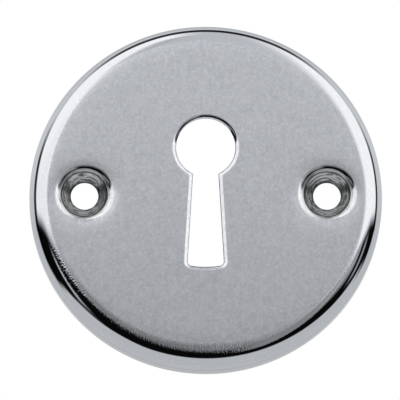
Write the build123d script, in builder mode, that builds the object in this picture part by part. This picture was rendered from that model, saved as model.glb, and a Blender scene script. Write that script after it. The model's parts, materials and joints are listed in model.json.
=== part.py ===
from build123d import *
import os
from math import cos, radians, sin, tan

# Keyhole escutcheon: one hollow-backed plate, drawn from sheet, in millimetres.
# It stands as it is fixed to a door: the back edge of its wall lies in the plane y = 0, its face looks
# along -Y, and +Z points from the plate's centre to the round head of the keyhole.

# Drawn shell
plate_diameter = 50.0
plate_depth = 5.0  # back edge of the wall to the face
sheet_thickness = 2.0
bend_radius = 0.78  # inside the bend from face to wall

# Screw holes, one each side of the keyhole
screw_inset = 7.85  # axis of each hole in from the plate's edge
screw_hole_diameter = 3.9
screw_hole_land = 0.2  # straight length of the hole behind its countersink
countersink_angle = 90.0
countersink_lip_radius = 1.1  # rounded edge between face and countersink

# Keyhole
head_diameter = 8.4
head_height = 6.75  # centre of the round head above the plate's centre
slot_foot_width = 5.15
slot_foot_drop = 10.25  # corners of the slot's foot below the plate's centre
slot_foot_bow = 0.25  # the foot curves down by this much in its middle
slot_side_angle = 3.4  # each side leans in towards the head
slot_corner_radius = 0.65
keyhole_edge_radius = 0.8  # rolled edge, where the punch went in
keyhole_edge_sweep = 50.0  # the roll turns this far from the face before the cut begins
keyhole_land = 0.1  # straight length of the cut wall
keyhole_relief_angle = 14.0  # from there the wall leans out towards the back

plate_radius = plate_diameter / 2
screw_spacing = plate_diameter - 2 * screw_inset
edge_radius = bend_radius + sheet_thickness
face_plane = Plane.XZ.offset(plate_depth)

# The countersink is as wide as its angle makes it when it stops short of the sheet's back by the land
countersink_depth = sheet_thickness - screw_hole_land
countersink_radius = screw_hole_diameter / 2 + countersink_depth * tan(radians(countersink_angle / 2))

# The slot's sides run from the corners of its foot to the height of the head's centre
slot_foot_half = slot_foot_width / 2
slot_neck_half = slot_foot_half - (head_height + slot_foot_drop) * tan(radians(slot_side_angle))

# The roll stops this far short of the width of a quarter round, and this deep
roll_inset = keyhole_edge_radius * (1 - sin(radians(keyhole_edge_sweep)))
roll_depth = keyhole_edge_radius * (1 - cos(radians(keyhole_edge_sweep)))
relief_depth = sheet_thickness - roll_depth - keyhole_land
relief_width = relief_depth * tan(radians(keyhole_relief_angle))

# Keyhole: a flared slot with a bowed foot, under a round head
with BuildSketch(face_plane) as keyhole:
    with BuildLine():
        foot = ThreePointArc(
            (-slot_foot_half, -slot_foot_drop),
            (0, -slot_foot_drop - slot_foot_bow),
            (slot_foot_half, -slot_foot_drop),
        )
        Polyline(foot @ 1, (slot_neck_half, head_height), (-slot_neck_half, head_height), foot @ 0)
    make_face()
    fillet(keyhole.vertices().group_by(Axis.Y)[0], slot_corner_radius)
    with Locations((0, head_height)):
        Circle(head_diameter / 2)

with BuildSketch(face_plane) as narrow_keyhole:
    add(keyhole.sketch_local)
    offset(amount=-roll_inset, mode=Mode.REPLACE)

with BuildPart() as escutcheon:
    # Shell: face, rounded edge and wall are one section, turned about the plate's axis
    with BuildSketch(Plane.XY) as section:
        Rectangle(plate_radius, plate_depth, align=(Align.MIN, Align.MAX))
        front_corner = section.vertices().sort_by_distance((plate_radius, -plate_depth))[0]
        fillet(front_corner, edge_radius)
        hollow_radius = plate_radius - sheet_thickness
        hollow_depth = plate_depth - sheet_thickness
        Rectangle(hollow_radius, hollow_depth, align=(Align.MIN, Align.MAX), mode=Mode.SUBTRACT)
        inside_corner = section.vertices().sort_by_distance((hollow_radius, -hollow_depth))[0]
        fillet(inside_corner, bend_radius)
    revolve(axis=Axis.Y)

    # Rolled edge: a round on the narrower keyhole, which the keyhole itself then cuts short
    extrude(narrow_keyhole.sketch, amount=-plate_depth, mode=Mode.SUBTRACT)
    face = escutcheon.faces().sort_by(Axis.Y)[0]
    fillet(face.inner_wires()[0].edges(), keyhole_edge_radius)
    extrude(keyhole.sketch, amount=-plate_depth, mode=Mode.SUBTRACT)
    hollow_floor = escutcheon.faces().filter_by(Axis.Y).sort_by_distance((0, -hollow_depth, 0))[0]
    chamfer(hollow_floor.inner_wires()[0].edges(), relief_width, relief_depth, reference=hollow_floor)

    # Screw holes: countersunk from the face, with rounded lips
    with Locations(face_plane):
        with GridLocations(screw_spacing, 0, 2, 1):
            CounterSinkHole(
                radius=screw_hole_diameter / 2,
                counter_sink_radius=countersink_radius,
                counter_sink_angle=countersink_angle,
            )
    face = escutcheon.faces().sort_by(Axis.Y)[0]
    closed_edges = face.edges().filter_by(lambda edge: edge.is_closed)
    fillet(closed_edges.sort_by(SortBy.RADIUS)[:2], countersink_lip_radius)

escutcheon.part.label = "escutcheon"

os.makedirs("parts", exist_ok=True)
export_step(escutcheon.part, "parts/escutcheon.step")
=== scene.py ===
import json
from math import atan2, cos, pi, radians, sin, sqrt, tan
from types import SimpleNamespace

import bpy
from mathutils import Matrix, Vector


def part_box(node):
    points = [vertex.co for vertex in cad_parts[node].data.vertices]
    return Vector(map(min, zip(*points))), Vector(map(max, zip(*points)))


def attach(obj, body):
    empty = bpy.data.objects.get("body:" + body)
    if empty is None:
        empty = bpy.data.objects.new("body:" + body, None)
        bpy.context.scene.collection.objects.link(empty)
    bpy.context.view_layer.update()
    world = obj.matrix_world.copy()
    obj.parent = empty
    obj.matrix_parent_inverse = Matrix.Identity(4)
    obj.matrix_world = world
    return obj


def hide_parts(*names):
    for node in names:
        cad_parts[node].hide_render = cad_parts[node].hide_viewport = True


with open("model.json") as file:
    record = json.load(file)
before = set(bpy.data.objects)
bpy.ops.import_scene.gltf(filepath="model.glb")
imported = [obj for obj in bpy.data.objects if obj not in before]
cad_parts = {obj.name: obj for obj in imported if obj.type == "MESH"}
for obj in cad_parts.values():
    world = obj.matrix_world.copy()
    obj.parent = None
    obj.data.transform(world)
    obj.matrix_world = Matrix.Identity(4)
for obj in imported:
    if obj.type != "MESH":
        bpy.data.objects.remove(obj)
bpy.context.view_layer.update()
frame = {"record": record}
mm = 0.001

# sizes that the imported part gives
lowCorner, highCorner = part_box("escutcheon")
plateRadius = (highCorner.x - lowCorner.x) / 2
plateDepth = highCorner.y - lowCorner.y
screwMount = next(mount for mount in frame["record"]["mounts"] if mount["name"] == "screw_holes")
screwReach = screwMount["dims"]["spacing_x_mm"] * mm / 2  # plate's axis to a screw's axis
screwRadius = screwMount["dims"]["hole_r_mm"] * mm
backOfSheet = screwMount["pos_m"][1]  # y of the hollow's floor
sheet = plateDepth + backOfSheet
weld = 0.001 * mm  # points closer than this are one
print("frame loaded: plate", round(2 * plateRadius / mm, 2), "mm by", round(plateDepth / mm, 2), "mm")


def deselectAll():
    if bpy.context.mode != "OBJECT":
        bpy.ops.object.mode_set(mode="OBJECT")
    bpy.ops.object.select_all(action="DESELECT")


def startPen(name, point):
    # one vertex to draw from: a plane merged to its middle, moved to the first point
    deselectAll()
    bpy.ops.mesh.primitive_plane_add(size=mm)
    piece = bpy.context.object
    piece.name = name
    bpy.ops.object.mode_set(mode="EDIT")
    bpy.ops.mesh.merge(type="CENTER")
    bpy.ops.transform.translate(value=point)
    return piece


def penTo(start, end):
    bpy.ops.mesh.extrude_region_move(TRANSFORM_OT_translate={"value": end - start})


def closeSeam():
    bpy.ops.mesh.select_all(action="SELECT")
    bpy.ops.mesh.remove_doubles(threshold=weld)


def spinSection(name, section, steps):
    # a section of (radius, y) points turned once about the Y axis
    points = [Vector((radius, y, 0)) for radius, y in section]
    piece = startPen(name, points[0])
    for start, end in zip(points, points[1:]):
        penTo(start, end)
    bpy.ops.mesh.select_all(action="SELECT")
    bpy.ops.mesh.spin(steps=steps, angle=2 * pi, center=(0, 0, 0), axis=(0, 1, 0))
    closeSeam()
    bpy.ops.object.mode_set(mode="OBJECT")
    return piece


def roundOver(centre, radius, startAngle, endAngle, segments):
    # points of a rounded corner in a section, angles from the front towards the outside
    turn = (endAngle - startAngle) / segments
    angles = [startAngle + turn * i for i in range(segments + 1)]
    return [(centre[0] + radius * sin(a), centre[1] - radius * cos(a)) for a in angles]


# Shell: face, rounded edge and wall of one drawn sheet
shell = {
    "bendRadius": 0.78 * mm,
    "shoulder": 0.7 * mm,  # the polished face falls away a little before its edge
    "shoulderFall": radians(1.6),
    "shoulderSteps": 5,
    "bendSteps": 22,
    "hollowSteps": 10,
    "backBreak": 0.12 * mm,  # trimmed back edge, just broken
    "flat": 0.06 * mm,  # flat strip that keeps the shading level
    "turns": 400,
    "creaseAngle": radians(32),  # edges sharper than this stay sharp
}
edgeRadius = shell["bendRadius"] + sheet
faceRadius = plateRadius - edgeRadius
hollowRadius = plateRadius - sheet


def shellSection():
    fall = shell["shoulderFall"]
    inner = faceRadius - shell["shoulder"]
    outer = faceRadius + edgeRadius * sin(fall)
    drop = (outer - inner) * tan(fall) / 2
    edgeCentre = (faceRadius, -plateDepth + drop + edgeRadius * cos(fall))
    section = [(inner - shell["flat"], -plateDepth)]
    for i in range(shell["shoulderSteps"]):
        share = i / shell["shoulderSteps"]
        section.append((inner + (outer - inner) * share, -plateDepth + drop * share**2))
    section += roundOver(edgeCentre, edgeRadius, fall, pi / 2, shell["bendSteps"])
    section.append((plateRadius, edgeCentre[1] + shell["flat"]))
    section.append((plateRadius, -shell["backBreak"]))
    section.append((plateRadius - shell["backBreak"], 0))
    section.append((hollowRadius, 0))
    bendCentre = (hollowRadius - shell["bendRadius"], backOfSheet + shell["bendRadius"])
    section.append((hollowRadius, bendCentre[1] + shell["flat"]))
    section += reversed(roundOver(bendCentre, shell["bendRadius"], 0, pi / 2, shell["hollowSteps"]))
    section.append((bendCentre[0] - shell["flat"], backOfSheet))
    return section


plate = spinSection("escutcheonPlate", shellSection(), shell["turns"])
print("shell spun:", len(plate.data.vertices), "points")

# Screw holes: countersinks with a rounded lip, a small burr inside it and the rings that the cutter left
countersink = {
    "lip": (  # mm from the screw's axis, and how far the lip has turned there
        (4.23, 0), (4.17, 3), (4.08, 6), (3.98, 10), (3.88, 14.5),
        (3.80, 19), (3.73, 23.5), (3.68, 27.5), (3.64, 31),
    ),
    "burrWidth": 0.25 * mm,  # ring inside the lip, raised by the cutter
    "burrLean": radians(34),
    "burrStep": (0.05 * mm, 0.13 * mm),  # across and back, from the burr to the cone
    "land": 0.2 * mm,
    "ringPitch": 0.28 * mm,
    "ringDepth": 0.009 * mm,
    "ringChange": 0.35,  # share of the depth that differs from ring to ring
    "ringTurn": 2.4,  # so that no two rings are quite alike
    "ringSteps": 8,  # points along each ring
    "flat": 0.03 * mm,
    "turns": 160,
}


def countersinkSection():
    lip = countersink["lip"]
    point = Vector((lip[0][0] * mm, -plateDepth))
    section = [(point.x + countersink["flat"], point.y), tuple(point)]
    for (start, startLean), (end, endLean) in zip(lip, lip[1:]):
        across = (start - end) * mm
        point += Vector((-across, across * tan(radians(startLean + endLean) / 2)))
        section.append(tuple(point))
    burr = countersink["burrWidth"]
    point += Vector((-burr, burr * tan(countersink["burrLean"])))
    section.append(tuple(point))
    across, back = countersink["burrStep"]
    top = point + Vector((-across, back))
    section.append(tuple(top))

    foot = Vector((screwRadius, backOfSheet - countersink["land"]))
    wall = foot - top
    intoMetal = Vector((-wall.y, wall.x)).normalized()
    steps = countersink["ringSteps"]
    rings = round(wall.length / countersink["ringPitch"])
    change = countersink["ringChange"]
    for i in range(1, rings * steps):
        ring = i // steps
        wave = (1 - cos(2 * pi * i / steps)) / 2
        depth = countersink["ringDepth"] * (1 - change + change * cos(ring * countersink["ringTurn"]))
        section.append(tuple(top + wall * (i / (rings * steps)) + intoMetal * (wave * depth)))
    section.append(tuple(foot))
    section.append((screwRadius, backOfSheet))
    section.append((screwRadius + countersink["flat"], backOfSheet))
    return section


rightHole = spinSection("countersunkHole", countersinkSection(), countersink["turns"])
deselectAll()
rightHole.select_set(True)
bpy.context.view_layer.objects.active = rightHole
bpy.ops.transform.translate(value=(screwReach, 0, 0))
bpy.ops.object.duplicate(linked=False)
leftHole = bpy.context.object
bpy.ops.transform.translate(value=(-2 * screwReach, 0, 0))
print("countersinks spun:", len(rightHole.data.vertices), "points each")

# Keyhole: an edge rolled over by the punch, then a cut wall that leans out to the back of the sheet
keyhole = {
    "headRadius": 4.2 * mm,
    "headHeight": 6.75 * mm,
    "footHalf": 2.575 * mm,
    "footDrop": 10.25 * mm,
    "footBow": 0.25 * mm,
    "sideLean": radians(3.4),
    "cornerRadius": 0.65 * mm,
    "edgeRadius": 0.8 * mm,
    "edgeSweep": radians(50),  # the roll turns this far before the cut begins
    "land": 0.1 * mm,
    "reliefLean": radians(14),
    "edgeSteps": 10,
    "flat": 0.03 * mm,
    "headSteps": 96,
    "cornerSteps": 14,
    "footSteps": 12,
    "sideSteps": 16,
}


def spinPen(centre, angle, steps):
    # carries the pen round a centre, positive angles anticlockwise seen from the front
    bpy.ops.mesh.spin(steps=steps, angle=angle, center=(centre.x, 0, centre.y), axis=(0, 1, 0))


def turnBetween(centre, start, end):
    a, b = start - centre, end - centre
    return atan2(a.x * b.y - a.y * b.x, a.dot(b))


def drawKeyhole(name, grow, y):
    # the outline in the plane at y, standing this far outside the clear opening
    lean = keyhole["sideLean"]
    head = Vector((0, keyhole["headHeight"]))
    sideOut = Vector((cos(lean), sin(lean)))
    sideUp = Vector((-sin(lean), cos(lean)))
    footCorner = Vector((keyhole["footHalf"], -keyhole["footDrop"]))
    footRadius = (keyhole["footHalf"] ** 2 + keyhole["footBow"] ** 2) / (2 * keyhole["footBow"])
    footCentre = Vector((0, footRadius - keyhole["footDrop"] - keyhole["footBow"]))

    # corner's centre: one radius inside the side and inside the foot's curve
    corner = keyhole["cornerRadius"]
    onSide = footCorner - sideOut * corner
    along = (onSide - footCentre).dot(sideUp)
    away = (onSide - footCentre).length_squared - (footRadius - corner) ** 2
    cornerCentre = onSide + sideUp * (-along - sqrt(along**2 - away))

    # neck: where the side meets the head, both grown
    sideStart = footCorner + sideOut * grow
    fromHead = sideStart - head
    along = fromHead.dot(sideUp)
    away = fromHead.length_squared - (keyhole["headRadius"] + grow) ** 2
    neck = sideStart + sideUp * (-along - sqrt(along**2 - away))

    sideFoot = cornerCentre + sideOut * (corner + grow)
    footEnd = cornerCentre + (cornerCentre - footCentre).normalized() * (corner + grow)

    def mirrored(point):
        return Vector((-point.x, point.y))

    def drawSide(start, end):
        step = (end - start) / keyhole["sideSteps"]
        for i in range(keyhole["sideSteps"]):
            penTo(Vector(), Vector((step.x, 0, step.y)))

    headTurn = 2 * (pi / 2 - atan2(neck.y - head.y, neck.x))
    cornerTurn = turnBetween(mirrored(cornerCentre), mirrored(sideFoot), mirrored(footEnd))
    piece = startPen(name, Vector((neck.x, y, neck.y)))
    spinPen(head, headTurn, keyhole["headSteps"])
    drawSide(mirrored(neck), mirrored(sideFoot))
    spinPen(mirrored(cornerCentre), cornerTurn, keyhole["cornerSteps"])
    spinPen(footCentre, turnBetween(footCentre, mirrored(footEnd), footEnd), keyhole["footSteps"])
    spinPen(cornerCentre, cornerTurn, keyhole["cornerSteps"])
    drawSide(sideFoot, neck)
    closeSeam()
    return piece


rollWidth = keyhole["edgeRadius"] * sin(keyhole["edgeSweep"])
rollDepth = keyhole["edgeRadius"] * (1 - cos(keyhole["edgeSweep"]))
reliefDepth = sheet - rollDepth - keyhole["land"]
keyholeBack = drawKeyhole("keyholeBack", reliefDepth * tan(keyhole["reliefLean"]), backOfSheet)
keyholeEdge = drawKeyhole("keyholeEdge", rollWidth + keyhole["flat"], -plateDepth)
bpy.ops.mesh.edge_face_add()
bpy.ops.mesh.normals_make_consistent(inside=False)
bpy.ops.mesh.inset(thickness=keyhole["flat"], depth=0, use_even_offset=True)
stepAngle = keyhole["edgeSweep"] / keyhole["edgeSteps"]
for i in range(keyhole["edgeSteps"]):
    inward = keyhole["edgeRadius"] * (sin(stepAngle * (i + 1)) - sin(stepAngle * i))
    back = keyhole["edgeRadius"] * (cos(stepAngle * i) - cos(stepAngle * (i + 1)))
    bpy.ops.mesh.inset(thickness=inward, depth=0, use_even_offset=True)
    bpy.ops.transform.translate(value=(0, back, 0))
bpy.ops.mesh.extrude_region_move(TRANSFORM_OT_translate={"value": (0, keyhole["land"], 0)})
bpy.ops.mesh.delete(type="ONLY_FACE")
deselectAll()
keyholeBack.select_set(True)
keyholeEdge.select_set(True)
bpy.context.view_layer.objects.active = keyholeEdge
bpy.ops.object.join()


def clearEdges():
    bpy.ops.object.mode_set(mode="EDIT")
    bpy.ops.mesh.select_mode(type="EDGE")
    bpy.ops.mesh.select_all(action="DESELECT")
    bpy.ops.object.mode_set(mode="OBJECT")


clearEdges()
landEnd = backOfSheet - reliefDepth
for edge in keyholeEdge.data.edges:
    edge.select = all(keyholeEdge.data.vertices[i].co.y > landEnd - weld for i in edge.vertices)
bpy.ops.object.mode_set(mode="EDIT")
bpy.ops.mesh.bridge_edge_loops()
bpy.ops.object.mode_set(mode="OBJECT")
print("keyhole edge:", len(keyholeEdge.data.vertices), "points,", len(keyholeEdge.data.polygons), "faces")

# One piece: the rings are joined and the flats between them filled, in front and in the hollow
deselectAll()
for ring in (leftHole, rightHole, keyholeEdge, plate):
    ring.select_set(True)
bpy.context.view_layer.objects.active = plate
bpy.ops.object.join()


def fillFlat(y):
    mesh = plate.data
    faceCount = {}
    for polygon in mesh.polygons:
        for key in polygon.edge_keys:
            faceCount[key] = faceCount.get(key, 0) + 1
    clearEdges()
    for edge in mesh.edges:
        level = all(abs(mesh.vertices[i].co.y - y) < weld for i in edge.vertices)
        edge.select = level and faceCount.get(edge.key, 0) == 1
    bpy.ops.object.mode_set(mode="EDIT")
    bpy.ops.mesh.fill()
    bpy.ops.object.mode_set(mode="OBJECT")


fillFlat(-plateDepth)
fillFlat(backOfSheet)
bpy.ops.object.mode_set(mode="EDIT")
closeSeam()
bpy.ops.mesh.normals_make_consistent(inside=False)
bpy.ops.object.mode_set(mode="OBJECT")
bpy.ops.object.shade_smooth_by_angle(angle=shell["creaseAngle"])
print("plate joined:", len(plate.data.polygons), "faces")
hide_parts("escutcheon")
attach(plate, "root")


class Wire:
    # a socket in a node tree: sums on it add Math nodes, and node() adds any other kind
    def __init__(self, tree, socket=None):
        self.tree = tree
        self.socket = socket

    def node(self, kind, settings=None, sockets=None, output=0):
        made = self.tree.nodes.new(kind)
        for name, value in (settings or {}).items():
            setattr(made, name, value)
        for name, value in (sockets or {}).items():
            if isinstance(value, Wire):
                self.tree.links.new(value.socket, made.inputs[name])
            else:
                made.inputs[name].default_value = value
        return Wire(self.tree, made.outputs[output] if len(made.outputs) else None)

    def out(self, name):
        return Wire(self.tree, self.socket.node.outputs[name])

    def math(self, operation, first, second=0.0):
        return self.node("ShaderNodeMath", {"operation": operation}, {0: first, 1: second})

    def __add__(self, other):
        return self.math("ADD", self, other)

    def __radd__(self, other):
        return self.math("ADD", other, self)

    def __sub__(self, other):
        return self.math("SUBTRACT", self, other)

    def __rsub__(self, other):
        return self.math("SUBTRACT", other, self)

    def __mul__(self, other):
        return self.math("MULTIPLY", self, other)

    def __rmul__(self, other):
        return self.math("MULTIPLY", other, self)

    def __truediv__(self, other):
        return self.math("DIVIDE", self, other)

    def __rtruediv__(self, other):
        return self.math("DIVIDE", other, self)

    def __abs__(self):
        return self.math("ABSOLUTE", self)

    def rise(self, low, high):
        # 0 below low, 1 above high, smooth between
        return self.node(
            "ShaderNodeMapRange",
            {"interpolation_type": "SMOOTHSTEP"},
            {"Value": self, "From Min": low, "From Max": high},
        )

    def fall(self, high, low):
        # 1 below high, 0 above low, smooth between
        return 1 - self.rise(high, low)

    def band(self, start, full, ebb, end):
        # 1 between full and ebb, 0 outside start and end
        return self.rise(start, full) * self.fall(ebb, end)

    def blend(self, other, share):
        # this value where share is 0, the other where it is 1
        return self.node("ShaderNodeMix", {"data_type": "FLOAT"}, {"Factor": share, "A": self, "B": other})

    def colours(self, share, first, second):
        # the same with two colours, whose sockets on the node are told apart by number alone
        return self.node("ShaderNodeMix", {"data_type": "RGBA"}, {0: share, 6: first, 7: second}, 2)


# Places on the plate, which all its finishes read, in mm
floorSkin = (0.06, 0.01)  # mm in front of the hollow's floor, where the inside begins
noiseMiddle = 0.5  # of what a noise node gives


def readPlace(board):
    coordinates = board.node("ShaderNodeTexCoord")
    inMm = board.node(
        "ShaderNodeVectorMath", {"operation": "SCALE"}, {0: coordinates.out("Object"), "Scale": 1 / mm}
    )
    split = board.node("ShaderNodeSeparateXYZ", None, {0: inMm})
    x, y, z = split.out("X"), split.out("Y"), split.out("Z")
    normal = board.node("ShaderNodeSeparateXYZ", None, {0: coordinates.out("Normal")})

    def reach(across, up):
        return board.math("SQRT", across * across + up * up)

    rightScrew, leftScrew = reach(x - screwReach / mm, z), reach(x + screwReach / mm, z)
    floorStart, floorFull = (backOfSheet / mm - skin for skin in floorSkin)
    return SimpleNamespace(
        inMm=inMm,
        x=x,
        y=y,
        z=z,
        fromAxis=reach(x, z),
        fromScrew=board.math("MINIMUM", rightScrew, leftScrew),
        besideScrew=abs(x) - screwReach / mm,
        level=abs(normal.out("Y")),  # 1 where the surface looks straight forward or back
        outside=y.fall(floorStart, floorFull),
    )


def speckle(board, place, look):
    # noise about zero, drawn out upright by its length and then turned, or the peaks of it alone
    turned = board.node(
        "ShaderNodeVectorRotate",
        {"rotation_type": "Y_AXIS"},
        {"Vector": place.inMm, "Angle": look.get("turn", 0.0)},
    )
    fine = 1 / look["size"]
    spread = board.node(
        "ShaderNodeVectorMath",
        {"operation": "MULTIPLY"},
        {0: turned, 1: (fine, fine, fine / look.get("length", 1.0))},
    )
    noise = board.node(
        "ShaderNodeTexNoise", None, {"Vector": spread, "Scale": 1.0, "Detail": look.get("detail", 1.0)}
    )
    noise = noise - noiseMiddle
    return noise.rise(*look["peaks"]) if "peaks" in look else noise


# Marks drawn out round an axis
streakLook = {
    "detail": 2.0,
    "middle": (-0.1, 0.1),  # mm, where the left half gives way to the right one
    "shift": 7,  # between the halves, so that the two screw holes differ
}


def streaks(board, place, across, along, away):
    turn = board.math("ARCTAN2", place.z, across)
    half = place.x.rise(*streakLook["middle"]) * streakLook["shift"]
    spread = board.node("ShaderNodeCombineXYZ", None, {"X": turn * along, "Y": away, "Z": half})
    noise = board.node(
        "ShaderNodeTexNoise", None, {"Vector": spread, "Scale": 1.0, "Detail": streakLook["detail"]}
    )
    return noise - noiseMiddle


# Face marks: mottling, upright polishing lines, pale specks and short scratches, weighed into one tone
faceMarks = {
    "mottle": {"size": 0.9, "detail": 3.0, "weight": 1.0},
    "middling": {"size": 0.42, "weight": 1.15},
    "fine": {"size": 0.22, "weight": 1.0},
    "lines": {"size": 0.3, "detail": 2.0, "length": 24, "weight": 0.4},
    "specks": {"size": 0.45, "detail": 0.0, "peaks": (0.18, 0.25), "weight": 1.6},
    "scratches": {
        "size": 0.2, "detail": 0.0, "length": 12, "turn": radians(28), "peaks": (0.22, 0.30), "weight": 1.4,
    },
    "crossScratches": {
        "size": 0.2, "detail": 0.0, "length": 9, "turn": radians(-35), "peaks": (0.23, 0.31), "weight": 1.4,
    },
}

# Satin of the flat face
satin = {
    "roughness": 0.14,
    "metal": 0.73,  # its grain scatters the rest
    "reach": (21.8, 22.7),  # mm from the plate's axis, over which satin turns to polish
    "level": (0.97, 0.995),  # and by how far the surface leans
    "lipReach": (3.8, 4.4),  # mm from a screw's axis
    "rubbed": 0.5,  # mm, polish reaches this much further in, low on the left
    "rubbedUp": (-16, -6),
    "rubbedAcross": (0, 10),
}


def satinShare(place):
    lowLeft = place.z.fall(*satin["rubbedUp"]) * place.x.fall(*satin["rubbedAcross"])
    worn = place.fromAxis + lowLeft * satin["rubbed"]
    face = place.level.rise(*satin["level"]) * worn.fall(*satin["reach"])
    return face * place.fromScrew.rise(*satin["lipReach"])


# Countersinks' cut metal: streaked round the screw, a painted shade line below the burr, darker near the
# hole
cutMetal = {
    "paleColour": (0.55, 0.575, 0.582, 1),
    # colour of the cut close to its hole, much darker
    "dullColour": (0.07, 0.073, 0.074, 1),
    "roughness": 0.26,
    "burrRoughness": 0.32,
    "reach": (3.60, 3.68),  # mm from a screw's axis
    "burrReach": (3.33, 3.42),
    "dullReach": (1.95, 2.4),
    "dullRagged": 0.9,  # mm, at the strongest streak
    # painted shade: a dark line in the crease where the burr's step meets the cone
    "scoreReach": 3.24,
    "scoreWidth": (0.03, 0.12),
    "scoreDark": 0.95,
    "tone": 0.82,
    "burrTone": 0.3,
    "chatterTone": 4.4,
    "chatterTurn": 2.4,  # streaks in a radian
    "chatterWidth": 0.2,
    "chatterDepth": 0.018 * mm,
}


def cutShade(board, place, burr, chatter):
    # darker towards the hole, its edge ragged along the streaks
    bright = (place.fromScrew + chatter * cutMetal["dullRagged"]).rise(*cutMetal["dullReach"])
    # painted shade: the dark line in the crease below the burr's step
    fromShadeLine = abs(place.fromScrew - cutMetal["scoreReach"])
    lineShade = 1 - cutMetal["scoreDark"] * fromShadeLine.fall(*cutMetal["scoreWidth"])
    tone = bright * lineShade * (cutMetal["tone"] + chatter * cutMetal["chatterTone"])
    tone = tone + burr * cutMetal["burrTone"]
    return board.colours(tone, cutMetal["dullColour"], cutMetal["paleColour"])


# Worn edge: a coarse grain low on the left and at the foot, and upright brush marks at the foot
edgeWear = {
    "grain": {"size": 0.2, "detail": 0.0},
    "grainDepth": 0.014 * mm,
    "grainReach": (21.9, 22.5, 22.9, 23.4),  # mm from the plate's axis
    "grainUp": (-11, -6),
    "grainAcross": (4, 14),
    "grainLost": 0.6,  # share of it that is missing on the right
    "brush": {"size": 0.14, "detail": 0.0, "length": 6},
    "brushDepth": 0.007 * mm,
    "brushReach": (21.0, 22.0, 22.7, 23.2),
    "brushUp": (-20, -15),
    "brushAcross": (2, 8),
}


def wornHeight(board, place):
    grain = place.fromAxis.band(*edgeWear["grainReach"]) * place.z.fall(*edgeWear["grainUp"])
    grain = grain * (1 - edgeWear["grainLost"] * place.x.rise(*edgeWear["grainAcross"]))
    brush = place.fromAxis.band(*edgeWear["brushReach"]) * place.z.fall(*edgeWear["brushUp"])
    brush = brush * place.x.fall(*edgeWear["brushAcross"])
    grain = speckle(board, place, edgeWear["grain"]) * grain * edgeWear["grainDepth"]
    return grain + speckle(board, place, edgeWear["brush"]) * brush * edgeWear["brushDepth"]


# Pressing: the face is dished a little beside each screw hole, and polished away towards the edge
pressing = {
    "dish": 0.055 * mm,
    "dishReach": (2.5, 6.5),  # mm from a screw's axis
    "brim": 0.048 * mm,  # deeper close to the hole
    "brimReach": (3.3, 5.1),
    "upright": 0.5,  # share of both above and below the hole
    "crown": 0.015 * mm,
    "crownReach": (20.0, 22.5),  # mm from the plate's axis
}


def pressedDepth(place):
    sideways = place.besideScrew / place.fromScrew
    share = place.outside * (pressing["upright"] + (1 - pressing["upright"]) * sideways * sideways)
    dish = place.fromScrew.fall(*pressing["dishReach"]) * share * pressing["dish"]
    brim = place.fromScrew.fall(*pressing["brimReach"]) * share * pressing["brim"]
    return dish + brim + place.fromAxis.rise(*pressing["crownReach"]) * pressing["crown"]


# Plated metal: cool chrome with a satin face, a polished edge and duller cut countersinks
plating = {
    "darkColour": (0.480, 0.501, 0.534, 1),
    "paleColour": (0.610, 0.637, 0.678, 1),
    "polishRoughness": 0.05,
    "polishCalm": 0.85,  # share of the face's marks that polish takes away
    "faceGrain": 0.0003 * mm,
    "wallReach": (23.4, 24.4),  # mm from the plate's axis
    "wheelLength": 5,  # mm, faint lines round the wall, left by polishing on a wheel
    "wheelWidth": 0.14,
    "wheelTone": 0.8,
}


def makePlating():
    material = bpy.data.materials.new("platedMetal")
    material.use_nodes = True
    tree = material.node_tree
    board = Wire(tree)
    place = readPlace(board)
    flat = satinShare(place)
    cut = place.outside * place.fromScrew.fall(*cutMetal["reach"])
    burr = cut * place.fromScrew.rise(*cutMetal["burrReach"])

    # colour: the face's marks fade into the polished edge, and the wall has its own
    marks = {name: speckle(board, place, look) for name, look in faceMarks.items()}
    tone = sum(marks[name] * look["weight"] for name, look in faceMarks.items())
    polish = place.fromAxis.rise(*satin["reach"])
    wall = place.fromAxis.rise(*plating["wallReach"])
    roundWall = plateRadius / mm / plating["wheelLength"]
    wheel = streaks(board, place, place.x, roundWall, place.y / plating["wheelWidth"])
    tone = tone * (1 - polish * plating["polishCalm"]) + wheel * wall * plating["wheelTone"]
    shade = board.colours(tone + noiseMiddle, plating["darkColour"], plating["paleColour"])
    fromScrew = place.fromScrew / cutMetal["chatterWidth"]
    chatter = streaks(board, place, place.besideScrew, cutMetal["chatterTurn"], fromScrew)
    shade = board.colours(cut, shade, cutShade(board, place, burr, chatter))

    rough = plating["polishRoughness"] + flat * (satin["roughness"] - plating["polishRoughness"])
    rough = rough.blend(cutMetal["roughness"], cut).blend(cutMetal["burrRoughness"], burr)
    metal = 1 - flat * (1 - satin["metal"])

    height = marks["fine"] * plating["faceGrain"] + wornHeight(board, place)
    height = height + chatter * cut * cutMetal["chatterDepth"] - pressedDepth(place)
    relief = board.node("ShaderNodeBump", None, {"Strength": 1.0, "Distance": 1.0, "Height": height})

    shader = tree.nodes["Principled BSDF"]
    tree.links.new(shade.socket, shader.inputs["Base Color"])
    tree.links.new(metal.socket, shader.inputs["Metallic"])
    tree.links.new(rough.socket, shader.inputs["Roughness"])
    tree.links.new(relief.socket, shader.inputs["Normal"])
    return material


plate.data.materials.clear()
plate.data.materials.append(makePlating())
print("plating made")

# Floor: pale, under the plate's lowest point, clear from below and fading to white far off
floorLook = {
    "radius": 3.0,
    "sides": 96,
    "colour": (0.93, 0.93, 0.935, 1),
    "fade": (0.12, 0.45),  # from the plate's foot
    "farLight": 1.0,
}


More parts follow.
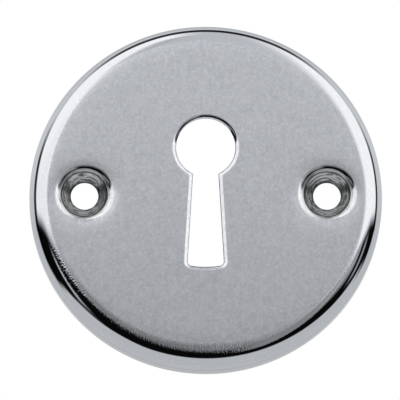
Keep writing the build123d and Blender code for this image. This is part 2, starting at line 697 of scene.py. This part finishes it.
def makeFloor():
    deselectAll()
    bpy.ops.mesh.primitive_circle_add(
        vertices=floorLook["sides"],
        radius=floorLook["radius"],
        fill_type="NGON",
        location=(0, 0, lowCorner.z),
    )
    floor = bpy.context.object
    floor.name = "paleFloor"
    floor.visible_glossy = False
    material = bpy.data.materials.new("paleFloor")
    material.use_nodes = True
    tree = material.node_tree
    tree.nodes.remove(tree.nodes["Principled BSDF"])
    board = Wire(tree)
    place = board.node("ShaderNodeTexCoord").out("Object")
    distance = board.node("ShaderNodeVectorMath", {"operation": "LENGTH"}, {0: place}).out("Value")
    far = distance.rise(*floorLook["fade"])
    seen = board.node("ShaderNodeLightPath").out("Is Camera Ray")
    paper = board.node("ShaderNodeBsdfDiffuse", None, {"Color": floorLook["colour"]})
    white = board.node("ShaderNodeEmission", None, {"Strength": floorLook["farLight"]})
    clear = board.node("ShaderNodeBsdfTransparent")
    faded = board.node("ShaderNodeMixShader", None, {0: far * seen, 1: paper, 2: white})
    under = board.node("ShaderNodeNewGeometry").out("Backfacing")
    oneSided = board.node("ShaderNodeMixShader", None, {0: under, 1: faded, 2: clear})
    tree.links.new(oneSided.socket, tree.nodes["Material Output"].inputs["Surface"])
    floor.data.materials.append(material)
    return floor


floor = makeFloor()
print("floor laid")


# Studio, painted on the world by direction: angles in degrees, pairs from the start of a change to its end
def readSky(board):
    direction = board.node("ShaderNodeTexCoord").out("Generated")
    split = board.node("ShaderNodeSeparateXYZ", None, {0: direction})
    x, y, z = split.out("X"), split.out("Y"), split.out("Z")
    forward = y * -1
    degree = 180 / pi
    return SimpleNamespace(
        aside=board.math("ARCSINE", x) * degree,  # to the right of the middle plane
        lift=board.math("ARCTAN2", z, forward) * degree,  # about the left-right axis, 0 straight in front
        off=board.math("ARCCOSINE", forward) * degree,  # off the front axis
        heading=board.math("ARCTAN2", x, forward) * degree,
        height=board.math("ARCSINE", z) * degree,
        tilt=board.math("ARCTAN2", z, abs(x)) * degree,  # round the front axis, 0 at both sides
    )


def bend(angle, by, bends):
    # shifts an angle while another one passes each bend: its start, its end and the shift
    for start, end, shift in bends:
        angle = angle + by.rise(start, end) * shift
    return angle


# White sides, whose feet run lower on the right, with a gap between them that grows lighter upwards
whiteSides = {
    "level": 1.5,
    "foot": 4.75,
    "footBends": ((-30, -10, 3.2), (-5, 18, -5.5), (40, 65, 2.5)),
    "footSoft": (-3.75, 3.75),
    "dim": 0.1,  # taken off low on the left
    "dimAside": (-22, -5),
    "dimHeight": (15, 30),
    "leftEdge": (-13, -2),  # of the gap
    "leftBends": ((14, 16.5, -3), (17, 32, 6), (49, 58, -6)),
    "rightEdge": (4, 25),
    "rightBends": ((14, 17, 2.5), (18, 45, -4.5)),
    "gapLow": 0.28,
    "gapLowAside": (-12, -1),
    "gapLowLift": (-18, 0),
    "gapMiddle": 0.455,  # added to what is below it
    "gapMiddleLift": (9.5, 13.6),
    "gapHigh": 0.11,
    "gapHighLift": (13.8, 17.8),
}


def lightSides(sky):
    foot = bend(whiteSides["foot"], sky.aside, whiteSides["footBends"])
    lowLeft = sky.aside.fall(*whiteSides["dimAside"]) * sky.height.fall(*whiteSides["dimHeight"])
    sides = whiteSides["level"] * (sky.height - foot).rise(*whiteSides["footSoft"])
    sides = sides * (1 - whiteSides["dim"] * lowLeft)
    gap = bend(sky.aside, sky.lift, whiteSides["leftBends"]).rise(*whiteSides["leftEdge"])
    gap = gap * bend(sky.aside, sky.lift, whiteSides["rightBends"]).fall(*whiteSides["rightEdge"])
    grey = whiteSides["gapLow"] * sky.lift.rise(*whiteSides["gapLowLift"])
    grey = grey * sky.aside.rise(*whiteSides["gapLowAside"])
    grey = grey + whiteSides["gapMiddle"] * sky.lift.rise(*whiteSides["gapMiddleLift"])
    grey = grey + whiteSides["gapHigh"] * sky.lift.rise(*whiteSides["gapHighLift"])
    return sides.blend(grey, gap)


# Dim patch low on the right, brighter towards its top in two steps
dimPatch = {
    "level": 0.36,
    "fade": 0.45,  # share that it loses to the right
    "fadeAside": (22, 30),
    "top": 0.30,
    "topAside": (14, 24),
    "topLift": (-14, -4),
    "side": 0.45,
    "sideAside": (1, 9),
    "sideLift": (0, 9),
    "leftEnd": (-1, 5),
    "leftLean": 0.25,
    "rightEnd": (38, 46),
    "foot": -30,
    "footBends": ((15, 31, 14.5),),
    "footSoft": (-3, 3),
    "head": (10, 16),
}


def lightPatch(sky):
    patch = dimPatch["level"] * (1 - dimPatch["fade"] * sky.aside.rise(*dimPatch["fadeAside"]))
    top = sky.aside.rise(*dimPatch["topAside"]) * sky.lift.rise(*dimPatch["topLift"])
    side = sky.aside.rise(*dimPatch["sideAside"]) * sky.lift.rise(*dimPatch["sideLift"])
    patch = patch + dimPatch["top"] * top + dimPatch["side"] * side
    leftEnd = (sky.aside + sky.lift * dimPatch["leftLean"]).rise(*dimPatch["leftEnd"])
    patch = patch * leftEnd * sky.aside.fall(*dimPatch["rightEnd"])
    foot = bend(dimPatch["foot"], sky.aside, dimPatch["footBends"])
    return patch * (sky.lift - foot).rise(*dimPatch["footSoft"]) * sky.lift.fall(*dimPatch["head"])


# Small lights in the dark below: two thin upright ones and a soft one on the left
smallLights = {
    "leftStrip": {"level": 0.68, "heading": -39.5, "width": (2, 6), "height": (-23, -17, -6, 1)},
    "rightStrip": {"level": 0.50, "heading": 59, "width": (1, 7), "height": (-20, -12, -4, 2)},
    "glow": {"level": 0.08, "heading": -46, "width": (3, 10), "height": (-33, -27, -23, -17)},
}


def lightSmall(sky, name):
    look = smallLights[name]
    across = abs(sky.heading - look["heading"]).fall(*look["width"])
    return look["level"] * across * sky.height.band(*look["height"])


# Ground: light underneath, further up on the left, with a dark shelter in front of the plate's own plane
ground = {
    "level": 0.79,
    "edge": (-52.5, -46.5),
    "lean": 0.07,
    "swell": 5,
    "swellHeading": -46,
    "swellWidth": (8, 20),
    "shelterEdge": (-25.5, -19),
    "shelterBends": ((-20, 20, -8), (30, 60, -3)),
    "shelterOff": (84, 98),
}


def groundShare(sky):
    swell = abs(sky.heading - ground["swellHeading"]).fall(*ground["swellWidth"])
    below = (sky.lift + sky.aside * ground["lean"] - swell * ground["swell"]).fall(*ground["edge"])
    shelter = bend(sky.height, sky.aside, ground["shelterBends"]).rise(*ground["shelterEdge"])
    return below * (1 - shelter * sky.off.fall(*ground["shelterOff"]))


# Backdrop: light behind, brightest just above the plate, dimmer high up and low straight behind
backdrop = {
    "level": 0.80,
    "edge": (95, 101),
    "top": 0.16,
    "topHeight": (-5, 20),
    "topOff": (115, 150),
    "highDim": 0.24,
    "highHeight": (25, 50),
    "highOff": (105, 125),
    "lowDim": 0.2,
    "lowHeight": (0, 15),
    "lowOff": (128, 158),
}


def lightBehind(sky):
    top = sky.height.rise(*backdrop["topHeight"]) * sky.off.fall(*backdrop["topOff"])
    high = sky.height.rise(*backdrop["highHeight"]) * sky.off.rise(*backdrop["highOff"])
    low = sky.height.fall(*backdrop["lowHeight"]) * sky.off.rise(*backdrop["lowOff"])
    behind = backdrop["level"] + backdrop["top"] * top
    return behind * (1 - backdrop["highDim"] * high) * (1 - backdrop["lowDim"] * low)


# Dark ring round the plate's own plane, paler at its upper corners
darkRing = {
    "depth": 0.97,
    "pale": 0.55,
    "paleTilt": 46,
    "paleWidth": (3, 22),
    "inner": (79.3, 86),
    "outer": (92.5, 98.5),
    "foot": (-22, -10),
    "upperTilt": (40, 80),
    "upperInner": 3,  # at the top it starts this much nearer the front
    "upperSharper": 2,
    "upperOuter": 2,
    "leftAside": (-60, -20),
    "leftInner": 4,
    "raisedHeight": (-6, 6),
    "raisedOuter": 2,
}


def ringShare(sky):
    upper = sky.tilt.rise(*darkRing["upperTilt"])
    left = sky.aside.fall(*darkRing["leftAside"])
    raised = sky.height.rise(*darkRing["raisedHeight"])
    start, full = darkRing["inner"]
    inner = sky.off + upper * darkRing["upperInner"] + left * darkRing["leftInner"]
    outer = sky.off - upper * darkRing["upperOuter"] - raised * darkRing["raisedOuter"]
    ring = inner.rise(start, full - upper * darkRing["upperSharper"]) * outer.fall(*darkRing["outer"])
    pale = abs(sky.tilt - darkRing["paleTilt"]).fall(*darkRing["paleWidth"])
    return ring * sky.height.rise(*darkRing["foot"]) * (darkRing["depth"] - darkRing["pale"] * pale)


# The whole studio
studio = {
    "dark": 0.004,
    "plain": (1, 1, 1, 1),
    "warmth": (1.055, 1.025, 1.0, 1),  # of the white sides
    "warmLevel": (0.9, 1.3),  # a light this bright is warm
    "page": 1.0,  # what the camera itself sees
}


def makeStudio():
    world = bpy.data.worlds.new("studio")
    bpy.context.scene.world = world
    world.use_nodes = True
    tree = world.node_tree
    board = Wire(tree)
    sky = readSky(board)
    strips = studio["dark"] + lightSmall(sky, "leftStrip") + lightSmall(sky, "rightStrip")
    small = board.math("MAXIMUM", strips, lightSmall(sky, "glow"))
    front = board.math("MAXIMUM", lightSides(sky), lightPatch(sky)) + small
    front = front.blend(ground["level"], groundShare(sky))
    around = front.blend(lightBehind(sky), sky.off.rise(*backdrop["edge"])) * (1 - ringShare(sky))

    seen = board.node("ShaderNodeLightPath").out("Is Camera Ray")
    warm = around.rise(*studio["warmLevel"]) * (1 - seen)
    tint = board.colours(warm, studio["plain"], studio["warmth"])
    level = around.blend(studio["page"], seen)
    light = board.node("ShaderNodeVectorMath", {"operation": "SCALE"}, {0: tint, "Scale": level})
    tree.links.new(light.socket, tree.nodes["Background"].inputs["Color"])


makeStudio()
print("studio lit")

# Camera: as the photograph, square-on from a little below
cameraLook = {
    "distance": 600 * mm,
    "below": radians(12.778),
    "lens": 379.6,
    "sensor": 36,
    "clip": (0.01, 10),
    "left": 0.807 * mm,  # the plate sits right of the middle of the frame
    "up": 0.18 * mm,
}


def makeCamera():
    sink = cameraLook["below"]
    back = Vector((0, -cos(sink), -sin(sink)))
    up = Vector((0, -sin(sink), cos(sink)))
    target = Vector((-cameraLook["left"], 0, 0)) + up * cameraLook["up"]
    deselectAll()
    bpy.ops.object.camera_add(location=target + back * cameraLook["distance"])
    camera = bpy.context.object
    camera.rotation_euler = (-back).to_track_quat("-Z", "Y").to_euler()
    camera.data.lens = cameraLook["lens"]
    camera.data.sensor_width = cameraLook["sensor"]
    camera.data.clip_start, camera.data.clip_end = cameraLook["clip"]
    bpy.context.scene.camera = camera


makeCamera()
bpy.context.scene.view_settings.view_transform = "Standard"
print("camera set")
